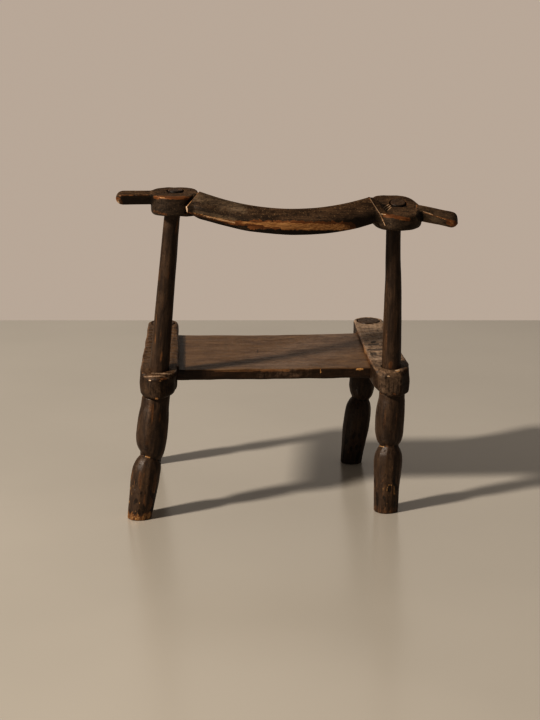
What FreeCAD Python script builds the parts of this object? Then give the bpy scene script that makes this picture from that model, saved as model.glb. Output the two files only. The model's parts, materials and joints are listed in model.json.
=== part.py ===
"""A low, hand-carved four-legged chair with a curved back rail.

Two side rails stand on four bulbous legs and hold the seat board between them in grooves.
The rear legs carry on above the side rails as leaning posts, and their tenons pass through
the two knobs of the back rail, which ends in a short stub beyond each knob.

Millimetres.  +X is the sitter's right, +Y is the way the sitter faces and +Z is up, so the
chair seen from behind has +X to the right.  The pieces are laid out about the middle of the
four leg holes, and are moved together at the end so that the origin is on the ground under
the middle of the whole chair.
"""
import FreeCAD, Part
import math
import os

Vector = FreeCAD.Vector
X_AXIS = Vector(1, 0, 0)
Z_AXIS = Vector(0, 0, 1)

# Seat frame: the height of the side rails' top faces, and the leg holes along them.
REAR_HOLE_Y = -126.0
FRONT_HOLE_Y = 126.0
REAR_RAIL_HEIGHT = 224.0
FRONT_RAIL_HEIGHT = 240.0
HOLE_X = {
    "left": {"rear": -171.0, "front": -167.0},
    "right": {"rear": 171.0, "front": 165.0},
}

# Side rails: a flat link shape round the two holes of each rail.
RAIL_THICKNESS = 40.0
RAIL_REAR_RADIUS = 28.5
RAIL_FRONT_RADIUS = 24.0
RAIL_TOP_ROUNDING = 4.0
RAIL_BOTTOM_ROUNDING = 9.0

# Seat board, measured along the slope of the rails from the rear holes.
BOARD_REAR = 18.0
BOARD_FRONT = 212.0
BOARD_THICKNESS = 17.0
BOARD_DROP = 8.0
BOARD_EDGE_ROUNDING = 3.0
TONGUE_DEPTH = 10.0

# Joints between pieces.
FIT_GAP = 0.3
FRONT_TENON_RADIUS = 16.0
POST_TENON_RADIUS = 10.0

# Posts, above the rear legs.
POST_FOOT_RADIUS = 13.8
POST_TOP_RADIUS = 11.0
POST_TOPS = {
    "left": Vector(-144.5, -141.0, 488.0),
    "right": Vector(171.5, -138.0, 467.5),
}

# Legs: foot centre on the ground, and the height of the carved waist along the leg.
LEGS = {
    "rear_leg_left": {
        "foot": Vector(-202, -140, 0), "waist_height": 97.0,
        "foot_radius": 17.5, "bulb_radius": 21.5, "waist_radius": 15.2,
        "barrel_radius": 22.5, "barrel_rise": 38.0, "top_radius": 20.5,
    },
    "rear_leg_right": {
        "foot": Vector(168, -127, 0), "waist_height": 100.0,
        "foot_radius": 16.8, "bulb_radius": 21.0, "waist_radius": 15.0,
        "barrel_radius": 21.8, "barrel_rise": 30.0, "top_radius": 18.8,
    },
    "front_leg_left": {
        "foot": Vector(-193, 146, 0), "waist_height": 106.0,
        "foot_radius": 16.5, "bulb_radius": 20.0, "waist_radius": 14.5,
        "barrel_radius": 20.5, "barrel_rise": 24.0, "top_radius": 17.0,
    },
    "front_leg_right": {
        "foot": Vector(140, 133, 0), "waist_height": 109.0,
        "foot_radius": 17.0, "bulb_radius": 21.0, "waist_radius": 14.5,
        "barrel_radius": 20.0, "barrel_rise": 20.0, "top_radius": 17.0,
    },
}
SHOULDER_DROP = 24.0
GROUND_ALLOWANCE = 12.0

# Back rail: a knob over each post, a bowed bar between them and a stub beyond each.
KNOBS = {
    "left": {
        "centre": Vector(-146, -150, 458.5), "radius": 33.5,
        "height": 28.5, "slope": 5.0,
    },
    "right": {
        "centre": Vector(172.5, -145, 434.5), "radius": 36.5,
        "height": 29.5, "slope": 17.0,
    },
}
KNOB_ROUNDING = 2.5
BAR_START = Vector(-118, -164, 472)
BAR_END = Vector(138, -165, 462)
BAR_BOW = 26.0
BAR_SAG = 17.5
BAR_HALF_WIDTH = 19.5
BAR_HALF_THICKNESS = 12.5
BAR_LEAN = 40.0
BAR_SPANS = 8
BAR_OVERRUN = 0.05
OVAL_POINTS = 16
STUBS = {
    "left": {
        "root": Vector(-168, -150, 480), "tip": Vector(-229, -148, 479),
        "width": 20.0, "height": 14.5, "roll": 6.0,
    },
    "right": {
        "root": Vector(196, -145, 456.5), "tip": Vector(262, -143, 442),
        "width": 21.0, "height": 15.5, "roll": 18.0,
    },
}
STUB_TAPER = 0.85
STUB_ROUNDING = 4.0

RAIL_RUN = math.hypot(FRONT_HOLE_Y - REAR_HOLE_Y, FRONT_RAIL_HEIGHT - REAR_RAIL_HEIGHT)
SEAT_SLOPE = math.degrees(math.asin((FRONT_RAIL_HEIGHT - REAR_RAIL_HEIGHT) / RAIL_RUN))
SEAT_PLACEMENT = FreeCAD.Placement(
    Vector(0, REAR_HOLE_Y, REAR_RAIL_HEIGHT), FreeCAD.Rotation(X_AXIS, SEAT_SLOPE))


def on_seat(x, along, up=0.0):
    """A point given across, along and square to the sloping top of the side rails."""
    return SEAT_PLACEMENT.multVec(Vector(x, along, up))


def closed_face(edges):
    return Part.Face(Part.Wire(edges))


def polygon_prism(points, height):
    """A prism on a polygon of points that lie in one level plane."""
    return Part.Face(Part.makePolygon(points + points[:1])).extrude(Vector(0, 0, height))


def round_edges_at(solid, height, radius):
    """Round the edges of a level face of the solid."""
    tolerance = 0.01
    edges = [edge for edge in solid.Edges
             if all(abs(vertex.Z - height) < tolerance for vertex in edge.Vertexes)]
    return solid.makeFillet(radius, edges)


def link_plan(rear, rear_radius, front, front_radius):
    """The outline of a belt round two circles, as a face in their plane."""
    along = front - rear
    heading = math.atan2(along.y, along.x)
    turn = math.acos((rear_radius - front_radius) / along.Length)

    def rim(centre, radius, angle):
        return centre + Vector(math.cos(angle), math.sin(angle), 0) * radius

    rear_first = rim(rear, rear_radius, heading + turn)
    rear_back = rim(rear, rear_radius, heading + math.pi)
    rear_last = rim(rear, rear_radius, heading - turn)
    front_first = rim(front, front_radius, heading - turn)
    front_tip = rim(front, front_radius, heading)
    front_last = rim(front, front_radius, heading + turn)
    return closed_face([
        Part.Arc(rear_first, rear_back, rear_last).toShape(),
        Part.LineSegment(rear_last, front_first).toShape(),
        Part.Arc(front_first, front_tip, front_last).toShape(),
        Part.LineSegment(front_last, rear_first).toShape(),
    ])


def rail_blank(side):
    """A side rail before its holes and groove are cut."""
    rear = Vector(HOLE_X[side]["rear"], 0, -RAIL_THICKNESS)
    front = Vector(HOLE_X[side]["front"], RAIL_RUN, -RAIL_THICKNESS)
    plan = link_plan(rear, RAIL_REAR_RADIUS, front, RAIL_FRONT_RADIUS)
    rail = plan.extrude(Vector(0, 0, RAIL_THICKNESS))
    rail = round_edges_at(rail, 0.0, RAIL_TOP_ROUNDING)
    rail = round_edges_at(rail, -RAIL_THICKNESS, RAIL_BOTTOM_ROUNDING)
    rail.Placement = SEAT_PLACEMENT
    return rail


def board_side_x(side, along):
    """Where the seat board's side edge lies, at a distance along the rails."""
    share = along / RAIL_RUN
    hole = HOLE_X[side]
    centre_x = hole["rear"] + (hole["front"] - hole["rear"]) * share
    half_width = RAIL_REAR_RADIUS + (RAIL_FRONT_RADIUS - RAIL_REAR_RADIUS) * share
    outward = math.copysign(1.0, hole["rear"])
    return centre_x - outward * (half_width - TONGUE_DEPTH)


def seat_board(gap=0.0):
    """The seat board, or with a gap, the room that its grooves leave for it."""
    bottom = -BOARD_DROP - BOARD_THICKNESS - gap
    corners = []
    for side, along in (("left", BOARD_REAR), ("right", BOARD_REAR),
                        ("right", BOARD_FRONT), ("left", BOARD_FRONT)):
        outward = math.copysign(gap, HOLE_X[side]["rear"])
        lengthwise = -gap if along == BOARD_REAR else gap
        corners.append(Vector(board_side_x(side, along) + outward, along + lengthwise, bottom))
    board = polygon_prism(corners, BOARD_THICKNESS + 2 * gap)
    crosswise = [edge for edge in board.Edges if abs(edge.tangentAt(0).x) > 0.9]
    board = board.makeFillet(BOARD_EDGE_ROUNDING, crosswise)
    board.Placement = SEAT_PLACEMENT
    return board


def leg_profile(size, shoulder_height, top_height):
    """Half of a leg's outline: foot, bulb, waist, barrel and shoulder."""
    waist = size["waist_height"]
    bulb = waist - SHOULDER_DROP
    barrel = waist + size["barrel_rise"]
    neck = size["waist_radius"]

    def at(radius, height):
        return Vector(radius, 0, height)

    def crown(full_radius, height):
        """The point that rounds the outline between the waist and a full width."""
        return at(neck + (full_radius - neck) * 0.8, waist + (height - waist) * 0.4)

    foot_spread = (size["bulb_radius"] - size["foot_radius"]) / bulb
    foot_end = at(size["foot_radius"] - foot_spread * GROUND_ALLOWANCE, -GROUND_ALLOWANCE)
    bulb_point = at(size["bulb_radius"], bulb)
    waist_point = at(neck, waist)
    barrel_point = at(size["barrel_radius"], barrel)
    shoulder = at(size["top_radius"], shoulder_height)
    upper_swell = at(0.4 * size["top_radius"] + 0.6 * size["barrel_radius"],
                     (barrel + shoulder_height) / 2)
    top = at(size["top_radius"], top_height)
    return closed_face([
        Part.LineSegment(at(0, -GROUND_ALLOWANCE), foot_end).toShape(),
        Part.LineSegment(foot_end, bulb_point).toShape(),
        Part.Arc(bulb_point, crown(size["bulb_radius"], bulb), waist_point).toShape(),
        Part.Arc(waist_point, crown(size["barrel_radius"], barrel), barrel_point).toShape(),
        Part.Arc(barrel_point, upper_swell, shoulder).toShape(),
        Part.LineSegment(shoulder, top).toShape(),
        Part.LineSegment(top, at(0, top_height)).toShape(),
        Part.LineSegment(at(0, top_height), at(0, -GROUND_ALLOWANCE)).toShape(),
    ])


def leg_blank(size, shoulder):
    """A leg from the ground to a little above its shoulder, which the rail trims."""
    axis = shoulder - size["foot"]
    into_rail = RAIL_THICKNESS / 4
    profile = leg_profile(size, axis.Length, axis.Length + into_rail)
    leg = profile.revolve(Vector(0, 0, 0), Z_AXIS, 360)
    leg.Placement = FreeCAD.Placement(size["foot"], FreeCAD.Rotation(Z_AXIS, axis))
    ground = Part.makeBox(1000, 1000, 100, Vector(-500, -500, -100))
    return leg.cut(ground)


def rod(start, end, start_radius, end_radius):
    """A round bar or a cone from one point to another."""
    axis = end - start
    if start_radius == end_radius:
        return Part.makeCylinder(start_radius, axis.Length, start, axis)
    return Part.makeCone(start_radius, end_radius, axis.Length, start, axis)


def stretched(start, end, before, after):
    """The line from start to end, made longer at both ends."""
    step = (end - start).normalize()
    return start - step * before, end + step * after


def rail_underside_on(rail_top, above):
    """Where a line from a point above, through the rails' top, meets their underside."""
    normal = SEAT_PLACEMENT.Rotation.multVec(Z_AXIS)
    upwards = above - rail_top
    return rail_top - upwards * (RAIL_THICKNESS / upwards.dot(normal))


def knob(size):
    """A knob of the back rail: a drum whose top slopes down towards the chair's back."""
    top = size["centre"] + Vector(0, 0, size["height"])
    drum = Part.makeCylinder(size["radius"], 2 * size["height"], size["centre"])
    above = Part.makeBox(200, 200, 100, Vector(-100, -100, 0))
    above.Placement = FreeCAD.Placement(top, FreeCAD.Rotation(X_AXIS, size["slope"]))
    drum = drum.cut(above)
    rims = [edge for edge in drum.Edges if len(edge.Vertexes) == 1]
    return drum.makeFillet(KNOB_ROUNDING, rims)


def bar_point(share):
    """The middle of the bar, from its left end at 0 to its right end at 1."""
    bend = max(0.0, 4 * share * (1 - share))
    return BAR_START + (BAR_END - BAR_START) * share - Vector(0, BAR_BOW, BAR_SAG) * bend


def bar_section(share):
    """An oval section square to the bar, leaning towards the sitter at its top."""
    step = 0.01
    forward = (bar_point(share + step) - bar_point(share - step)).normalize()
    lean = math.radians(BAR_LEAN)
    tall = Vector(0, math.sin(lean), math.cos(lean))
    tall = (tall - forward * tall.dot(forward)).normalize()
    thick = forward.cross(tall)
    points = []
    for i in range(OVAL_POINTS):
        angle = 2 * math.pi * i / OVAL_POINTS
        points.append(bar_point(share) + tall * (BAR_HALF_WIDTH * math.cos(angle))
                      + thick * (BAR_HALF_THICKNESS * math.sin(angle)))
    oval = Part.BSplineCurve()
    oval.interpolate(Points=points, PeriodicFlag=True)
    return Part.Wire([oval.toShape()])


def bar():
    """The bar, which runs a little way into both knobs."""
    shares = [i / BAR_SPANS for i in range(BAR_SPANS + 1)]
    shares = [-BAR_OVERRUN] + shares + [1 + BAR_OVERRUN]
    return Part.makeLoft([bar_section(share) for share in shares], True)


def stub(size):
    """A tapered stub with a rounded tip, rolled about its length."""
    axis = size["tip"] - size["root"]
    half_width = size["width"] / 2
    half_height = size["height"] / 2
    corners = [(-half_width, -half_height), (half_width, -half_height),
               (half_width, half_height), (-half_width, half_height)]

    def section(scale, height):
        points = [Vector(a * scale, b * scale, height) for a, b in corners]
        return Part.makePolygon(points + points[:1])

    block = Part.makeLoft([section(1.0, 0.0), section(STUB_TAPER, axis.Length)], True)
    near_root = axis.Length / 2
    edges = [edge for edge in block.Edges
             if max(vertex.Z for vertex in edge.Vertexes) > near_root]
    block = block.makeFillet(STUB_ROUNDING, edges)
    across = Vector(0, 1, 0) if axis.x > 0 else Vector(0, -1, 0)
    turn = FreeCAD.Rotation(across, Z_AXIS, axis, "ZXY")
    roll = FreeCAD.Rotation(X_AXIS, size["roll"])
    block.Placement = FreeCAD.Placement(size["root"], roll.multiply(turn))
    return block


def back_rail_blank():
    """The back rail before its tenon holes are cut."""
    pieces = [knob(KNOBS["right"]), bar(), stub(STUBS["left"]), stub(STUBS["right"])]
    return knob(KNOBS["left"]).multiFuse(pieces)


def post_length(side, underside):
    """The length over which a post tapers: it stops half way up inside its knob."""
    return (POST_TOPS[side] - underside).Length - KNOBS[side]["height"] / 2


def through_knob(side, radius):
    """A round bar along a post that comes out both above and below its knob."""
    foot = on_seat(HOLE_X[side]["rear"], 0)
    top = POST_TOPS[side]
    reach = 2 * KNOBS[side]["height"]
    start, end = stretched(foot, top, reach - (top - foot).Length, reach)
    return rod(start, end, radius, radius)


def rear_leg(side, rail, back_rail):
    """A rear leg, its post and the tenon in the back rail's knob, all one piece."""
    rail_top = on_seat(HOLE_X[side]["rear"], 0)
    underside = rail_underside_on(rail_top, POST_TOPS[side])
    leg = leg_blank(LEGS["rear_leg_" + side], underside).cut(rail)
    along_post = (POST_TOPS[side] - underside).normalize()
    post_end = underside + along_post * post_length(side, underside)
    post = rod(underside, post_end, POST_FOOT_RADIUS, POST_TOP_RADIUS).cut(back_rail)
    tenon = through_knob(side, POST_TENON_RADIUS).common(back_rail)
    return leg.multiFuse([post, tenon]).removeSplitter()


def post_room(side):
    """The room that a side rail leaves for the tapered foot of its post."""
    rail_top = on_seat(HOLE_X[side]["rear"], 0)
    underside = rail_underside_on(rail_top, POST_TOPS[side])
    taper = (POST_TOP_RADIUS - POST_FOOT_RADIUS) / post_length(side, underside)
    start, end = stretched(underside, rail_top, RAIL_THICKNESS, RAIL_THICKNESS)
    start_radius = POST_FOOT_RADIUS + FIT_GAP - taper * RAIL_THICKNESS
    return rod(start, end, start_radius, start_radius + taper * (end - start).Length)


def front_shoulder(side):
    """Where a front leg's axis meets the underside of its side rail."""
    rail_top = on_seat(HOLE_X[side]["front"], RAIL_RUN)
    beyond = rail_top * 2 - LEGS["front_leg_" + side]["foot"]
    return rail_underside_on(rail_top, beyond)


def through_rail(side, radius):
    """A round bar along a front leg that comes out both above and below its side rail."""
    rail_top = on_seat(HOLE_X[side]["front"], RAIL_RUN)
    start, end = stretched(front_shoulder(side), rail_top, RAIL_THICKNESS, RAIL_THICKNESS)
    return rod(start, end, radius, radius)


def front_leg(side, rail):
    """A front leg with a round tenon that shows at the top of its side rail."""
    leg = leg_blank(LEGS["front_leg_" + side], front_shoulder(side)).cut(rail)
    tenon = through_rail(side, FRONT_TENON_RADIUS).common(rail)
    return leg.fuse(tenon).removeSplitter()


def side_rail(side, blank):
    """A side rail with its two holes and the groove for the seat board."""
    rail = blank.cut(post_room(side))
    rail = rail.cut(through_rail(side, FRONT_TENON_RADIUS + FIT_GAP))
    return rail.cut(seat_board(FIT_GAP))


def back_rail(blank):
    """The back rail with a tenon hole through each knob."""
    for side in KNOBS:
        blank = blank.cut(through_knob(side, POST_TENON_RADIUS + FIT_GAP))
    return blank


def build_pieces():
    blanks = {side: rail_blank(side) for side in HOLE_X}
    rail_over_posts = back_rail_blank()
    pieces = {"back_rail": back_rail(rail_over_posts), "seat_board": seat_board()}
    for side, blank in blanks.items():
        pieces["side_rail_" + side] = side_rail(side, blank)
        pieces["rear_leg_" + side] = rear_leg(side, blank, rail_over_posts)
        pieces["front_leg_" + side] = front_leg(side, blank)
    return pieces


def centre_on_ground(pieces):
    """Move every piece so that the origin is on the ground under the chair's middle."""
    box = Part.makeCompound(list(pieces.values())).optimalBoundingBox(True, False)
    shift = Vector(-box.Center.x, -box.Center.y, -box.ZMin)
    for shape in pieces.values():
        shape.translate(shift)
    return box, shift


def main():
    pieces = build_pieces()
    box, shift = centre_on_ground(pieces)
    print("size %.1f x %.1f x %.1f, layout moved by %.2f, %.2f, %.2f"
          % (box.XLength, box.YLength, box.ZLength, shift.x, shift.y, shift.z))
    os.makedirs("parts", exist_ok=True)
    for name, shape in sorted(pieces.items()):
        print("%-16s valid %s, solids %d, volume %.0f"
              % (name, shape.isValid(), len(shape.Solids), shape.Volume))
        shape.exportStep("parts/%s.step" % name)


main()
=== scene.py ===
import itertools
import json
import math
from concurrent.futures import ThreadPoolExecutor

import bpy
import numpy as np
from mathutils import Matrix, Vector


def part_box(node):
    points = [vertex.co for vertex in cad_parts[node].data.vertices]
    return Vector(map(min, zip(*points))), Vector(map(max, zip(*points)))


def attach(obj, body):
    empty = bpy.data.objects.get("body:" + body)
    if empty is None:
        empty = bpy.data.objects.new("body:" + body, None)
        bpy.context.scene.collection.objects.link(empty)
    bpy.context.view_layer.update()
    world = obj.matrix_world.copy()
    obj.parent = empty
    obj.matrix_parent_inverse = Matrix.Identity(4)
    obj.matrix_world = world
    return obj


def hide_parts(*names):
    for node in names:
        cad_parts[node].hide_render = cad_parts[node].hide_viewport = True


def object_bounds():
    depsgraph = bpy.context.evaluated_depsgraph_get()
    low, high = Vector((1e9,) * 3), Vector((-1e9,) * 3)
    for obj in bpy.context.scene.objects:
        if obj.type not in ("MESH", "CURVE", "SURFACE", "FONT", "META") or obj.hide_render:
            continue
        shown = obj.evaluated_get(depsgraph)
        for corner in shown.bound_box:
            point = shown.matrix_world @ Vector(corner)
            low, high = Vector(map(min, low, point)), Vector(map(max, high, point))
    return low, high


# The looks of a low, hand-carved chair.  Every piece is carved as a distance field on a fine
# grid and turned into a closed mesh, which stands for the CAD piece of the same name.
#
# The carving code works in millimetres in the chair's layout frame, whose origin is on the
# ground under the middle of the four leg holes.  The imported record's mounts tell where that
# frame lies in the row frame, and every mesh is moved there, in metres, once it is carved.

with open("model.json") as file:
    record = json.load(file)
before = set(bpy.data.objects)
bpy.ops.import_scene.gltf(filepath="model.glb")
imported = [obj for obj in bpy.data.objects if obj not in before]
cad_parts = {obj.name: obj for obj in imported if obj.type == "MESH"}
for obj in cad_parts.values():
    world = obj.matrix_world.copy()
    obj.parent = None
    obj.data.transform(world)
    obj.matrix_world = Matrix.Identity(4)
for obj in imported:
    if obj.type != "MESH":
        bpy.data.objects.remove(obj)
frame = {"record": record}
cad_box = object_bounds()

MM = 0.001

BAND = 4.0
COARSE = 4
DETAIL = 1.0

# Seat frame.
REAR_HOLE_Y = -126.0
FRONT_HOLE_Y = 126.0
REAR_RAIL_HEIGHT = 224.0
FRONT_RAIL_HEIGHT = 240.0
HOLE_X = {"left": (-171.0, -167.0), "right": (171.0, 165.0)}
RAIL_RUN = math.hypot(FRONT_HOLE_Y - REAR_HOLE_Y, FRONT_RAIL_HEIGHT - REAR_RAIL_HEIGHT)
SEAT_SLOPE = math.asin((FRONT_RAIL_HEIGHT - REAR_RAIL_HEIGHT) / RAIL_RUN)

# Side rails.
RAIL_THICKNESS = 40.0
RAIL_RADIUS = (28.5, 24.0)
RAIL_REAR_REACH = 32.5
RAIL_SEEDS = {"left": 21, "right": 22}
SCOOP_PITCH = {"left": 17.0, "right": 22.0}

# Seat board, measured along the rails from the rear holes.
BOARD_REAR = 18.0
BOARD_FRONT = 212.0
BOARD_THICKNESS = 17.0
BOARD_DROP = 8.0
TONGUE_DEPTH = 10.0
GROOVE_GAP = 0.4

# Posts and their tenons.
POST_TOPS = {"left": (-144.5, -141.0, 488.0), "right": (171.5, -138.0, 467.5)}
TENON_RADIUS = 10.8
TENON_HOLE_GAP = 1.5
TENON_SHIFT = {"left": (0.0, 1.0), "right": (4.5, 3.4)}
TENON_PROUD = 1.1
FRONT_TENON_RADIUS = 15.5
FRONT_TENON_FLARE = 2.0

# Back rail.
KNOBS = {
    "left": {"centre": (-146.0, -150.0, 458.5), "radius": 33.5, "height": 28.9, "slope": 5.6,
             "seed": 61},
    "right": {"centre": (172.5, -145.0, 434.5), "radius": 36.5, "height": 30.0, "slope": 17.6,
              "seed": 62},
}
BAR_START = (-118.0, -164.0, 472.0)
BAR_END = (138.0, -159.0, 461.2)
BAR_BOW = 26.0
BAR_SAG = 17.5
BAR_LEFT_PART = 0.22
BAR_LEFT_BACK = 6.5
BAR_LEFT_DROP = 1.4
BAR_HALF_WIDTH = 19.5
BAR_HALF_THICKNESS = 12.5
BAR_LEAN = math.radians(40)
BAR_POWER = 2.5
BAR_FLAT = (17.2, 14.3)
BAR_UNDERSIDE = ((-130, 456.5), (-107, 452.2), (-80, 445.2), (-37, 436.0), (30, 430.6),
                 (67, 430.6), (96, 432.8), (132, 441.0), (160, 448.0))
STUBS = {
    "left": {"root": (-165.0, -150.0, 480.4), "tip": (-229.8, -148.0, 479.6),
             "width": (20.5, 21.0), "height": (14.5, 15.0), "roll": 11.0, "seed": 81},
    "right": {"root": (203.0, -144.6, 454.9), "tip": (263.4, -143.6, 441.9),
              "width": (15.2, 25.0), "height": (17.5, 11.0), "roll": 30.0, "seed": 82},
}

# The planes that end the bar: at its left it stands proud of the knob behind a groove, and on
# the right knob a raised lip marks where it ends.
BAR_LEFT_END = (((-111.8, -155.0, 487.8), (-0.753, 0.094, 0.652)),
                ((-129.6, -183.0, 471.3), (-0.995, -0.009, -0.096)),
                ((-118.5, -178.0, 457.2), (-0.500, -0.120, -0.858)))
BAR_LIP = (((133.8, -150.0, 476.1), (0.839, -0.021, 0.543)),
           ((145.8, -172.0, 456.7), (0.914, -0.051, 0.403)))
LIP_STEP = 0.7
LIP_FALL = 0.34
LIP_RIDGE = 0.9
LIP_WIDTH = 0.9
LIP_REACH = 9
END_GROOVE_WIDTH = 3.2
END_GROOVE_DEPTH = 5.0

# Legs: foot centre on the ground, outline as (height, radius) along the leg, sideways sway of
# its middle, height of the carved waist and how far the waist's groove slants across the leg.
LEGS = {
    "rear_leg_left": {
        "foot": (-202.0, -140.0, 0.0), "waist": 93.5, "slant": (0.24, 0.05),
        "outline": ((-12, 17.6), (14, 18.6), (40, 20.2), (60, 21.2), (72, 20.8), (80, 19.4),
                    (86, 17.6), (90, 15.8), (93.5, 13.9), (96.5, 15.8), (100.5, 18.4),
                    (106, 20.6), (114, 22.2), (126, 23.1), (146, 22.9), (160, 22.0),
                    (170, 20.8), (200, 20.2)),
        "sway": ((0, -2.0), (50, -1.4), (70, -0.8), (80, 0.6), (93.5, 2.6), (105, 1.0),
                 (126, -0.1), (180, -1.4)),
        "seed": 11,
    },
    "rear_leg_right": {
        "foot": (168.0, -127.0, 0.0), "waist": 102.8, "slant": (0.02, 0.08),
        "outline": ((-12, 18.0), (16, 18.6), (32, 18.8), (48, 19.4), (63, 20.6), (77, 21.2),
                    (88, 20.0), (96, 17.2), (102.8, 14.2), (107, 16.8), (112, 18.9), (125, 21.0),
                    (146, 21.5), (160, 21.0), (169, 20.2), (177, 19.2), (200, 18.8)),
        "sway": ((0, -1.4), (32, -1.5), (63, -0.7), (80, -0.5), (102, 0.4), (125, 0.0),
                 (160, 1.2), (180, 2.4)),
        "seed": 12,
    },
    "front_leg_left": {
        "foot": (-193.0, 146.0, 0.0), "waist": 106.0, "slant": (-0.10, 0.06),
        "outline": ((-12, 16.8), (18, 17.8), (45, 19.6), (70, 20.8), (88, 20.4), (97, 18.4),
                    (102, 16.2), (106, 14.2), (110, 15.9), (115, 18.0), (124, 20.0),
                    (134, 20.6), (148, 19.4), (164, 17.6), (182, 17.0), (215, 17.0)),
        "sway": ((0, 0.8), (80, -0.6), (106, 0.6), (140, 1.0), (200, 0.0)),
        "seed": 13,
    },
    "front_leg_right": {
        "foot": (140.0, 133.0, 0.0), "waist": 110.5, "slant": (0.06, 0.02),
        "outline": ((-12, 17.0), (20, 18.4), (45, 20.2), (63, 21.3), (80, 21.2), (94, 20.2),
                    (102, 18.2), (107, 16.2), (110.5, 14.1), (114, 15.6), (118, 17.7),
                    (125, 19.6), (132, 20.6), (140, 20.5), (152, 19.2), (166, 17.6),
                    (182, 17.0), (215, 17.0)),
        "sway": ((0, 0.0), (63, 0.8), (94, 1.2), (118, 2.6), (135, 1.8), (190, 0.4)),
        "seed": 14,
    },
}
POSTS = {
    "left": {"outline": ((0, 14.6), (40, 14.3), (110, 13.3), (160, 12.7), (200, 12.2), (250, 11.5),
                         (300, 11.3)),
             "sway": ((0, 0.0), (60, -0.6), (120, -1.0), (200, -1.4), (262, -1.6), (285, -0.4))},
    "right": {"outline": ((0, 14.4), (40, 14.2), (110, 13.4), (150, 12.5), (180, 11.5), (210, 11.0),
                          (240, 10.7), (300, 10.6)),
              "sway": ((0, 0.4), (110, 0.3), (170, 0.0), (210, -1.1), (240, -1.4), (262, -0.4))},
}


# ---------------------------------------------------------------------------------------------
# Numbers and noise

def vec(values):
    return np.array(values, np.float32)


def unit(v):
    v = np.asarray(v, float)
    return v / np.linalg.norm(v)


def length(v):
    return np.sqrt((v * v).sum(-1))


def ramp(value, low, high):
    """0 below low, 1 above high and smooth between them; low may be the larger."""
    t = np.clip((value - low) / (high - low), 0, 1)
    return t * t * (3 - 2 * t)


def blend(a, b, share):
    return a + (b - a) * share


def rounded_max(a, b, width):
    t = np.clip(0.5 + (a - b) / (2 * width), 0, 1)
    return b + (a - b) * t + width * t * (1 - t)


def rounded_min(a, b, width):
    return -rounded_max(-a, -b, width)


def curve(stations):
    """A smooth function through (place, value) stations that never overshoots them."""
    places, values = np.array(stations, float).T
    steps = np.diff(places)
    slopes = np.diff(values) / steps
    tangents = np.zeros_like(values)
    product = slopes[:-1] * slopes[1:]
    same_way = product > 0
    mean = 2 * product / np.where(same_way, slopes[:-1] + slopes[1:], 1)
    tangents[1:-1] = np.where(same_way, mean, 0)
    fine = np.linspace(places[0], places[-1], 600)
    i = np.clip(np.searchsorted(places, fine) - 1, 0, len(steps) - 1)
    t = (fine - places[i]) / steps[i]
    start = values[i] * (1 + 2 * t) * (1 - t) ** 2 + tangents[i] * steps[i] * t * (1 - t) ** 2
    end = values[i + 1] * t * t * (3 - 2 * t) + tangents[i + 1] * steps[i] * t * t * (t - 1)
    table = start + end
    return lambda x: np.interp(x, fine, table).astype(np.float32)


def noise(points, size, seed):
    """Smooth noise between about -1 and 1, with cells of one size or of three."""
    scaled = points / np.asarray(size, np.float32)
    cell = np.floor(scaled)
    part = (scaled - cell).astype(np.float32)
    cell = cell.astype(np.int64).astype(np.uint32)
    fade = part * part * part * (part * (part * 6 - 15) + 10)
    total = np.zeros(len(points), np.float32)
    for corner in itertools.product((0, 1), repeat=3):
        h = ((cell[:, 0] + np.uint32(corner[0])) * np.uint32(374761393)
             ^ (cell[:, 1] + np.uint32(corner[1])) * np.uint32(668265263)
             ^ (cell[:, 2] + np.uint32(corner[2])) * np.uint32(2246822519))
        h = h + np.uint32(seed * 7919 + 1)
        h = (h ^ (h >> np.uint32(15))) * np.uint32(2246822519)
        h = (h ^ (h >> np.uint32(13))) * np.uint32(3266489917)
        h = h ^ (h >> np.uint32(16))
        value = np.zeros(len(points), np.float32)
        weight = np.ones(len(points), np.float32)
        for axis in range(3):
            slope = ((h >> np.uint32(8 * axis)) & np.uint32(255)).astype(np.float32) / 127.5 - 1
            value += slope * (part[:, axis] - corner[axis])
            weight *= fade[:, axis] if corner[axis] else 1 - fade[:, axis]
        total += value * weight
    return total * 1.35


# ---------------------------------------------------------------------------------------------
# Frames of the pieces

def frame_along(start, end):
    """An origin and three unit rows: sideways (about +X), back (about +Y) and along."""
    along = unit(np.subtract(end, start))
    side = unit(np.array([1.0, 0, 0]) - along * along[0])
    return vec(start), np.stack([side, np.cross(along, side), along]).astype(np.float32)


def local(points, axes):
    return (points - axes[0]) @ axes[1].T


SEAT_AXES = (vec((0, REAR_HOLE_Y, REAR_RAIL_HEIGHT)),
             vec(((1, 0, 0),
                  (0, math.cos(SEAT_SLOPE), math.sin(SEAT_SLOPE)),
                  (0, -math.sin(SEAT_SLOPE), math.cos(SEAT_SLOPE)))))


def on_seat(x, along, up=0.0):
    """A point across, along and above the side rails' tops, in the layout frame."""
    return SEAT_AXES[0] + vec((x, along, up)) @ SEAT_AXES[1]


def under_rail(rail_top, direction):
    """Where a line down from the rails' top along a direction meets their underside."""
    normal = SEAT_AXES[1][2]
    return rail_top - direction * (RAIL_THICKNESS / float(direction @ normal))


def rear_leg_points(side):
    rail_top = on_seat(HOLE_X[side][0], 0)
    top = vec(POST_TOPS[side])
    return under_rail(rail_top, top - rail_top), top


def front_leg_points(side):
    rail_top = on_seat(HOLE_X[side][1], RAIL_RUN)
    foot = vec(LEGS["front_leg_" + side]["foot"])
    return under_rail(rail_top, rail_top - foot), rail_top


def leg_axes(name):
    """The frame of a leg, from its foot to the underside of its rail."""
    side = name.rsplit("_", 1)[1]
    points = rear_leg_points(side) if "rear" in name else front_leg_points(side)
    return frame_along(LEGS[name]["foot"], points[0])


# ---------------------------------------------------------------------------------------------
# Distance fields of the pieces: below zero inside the wood

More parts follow.
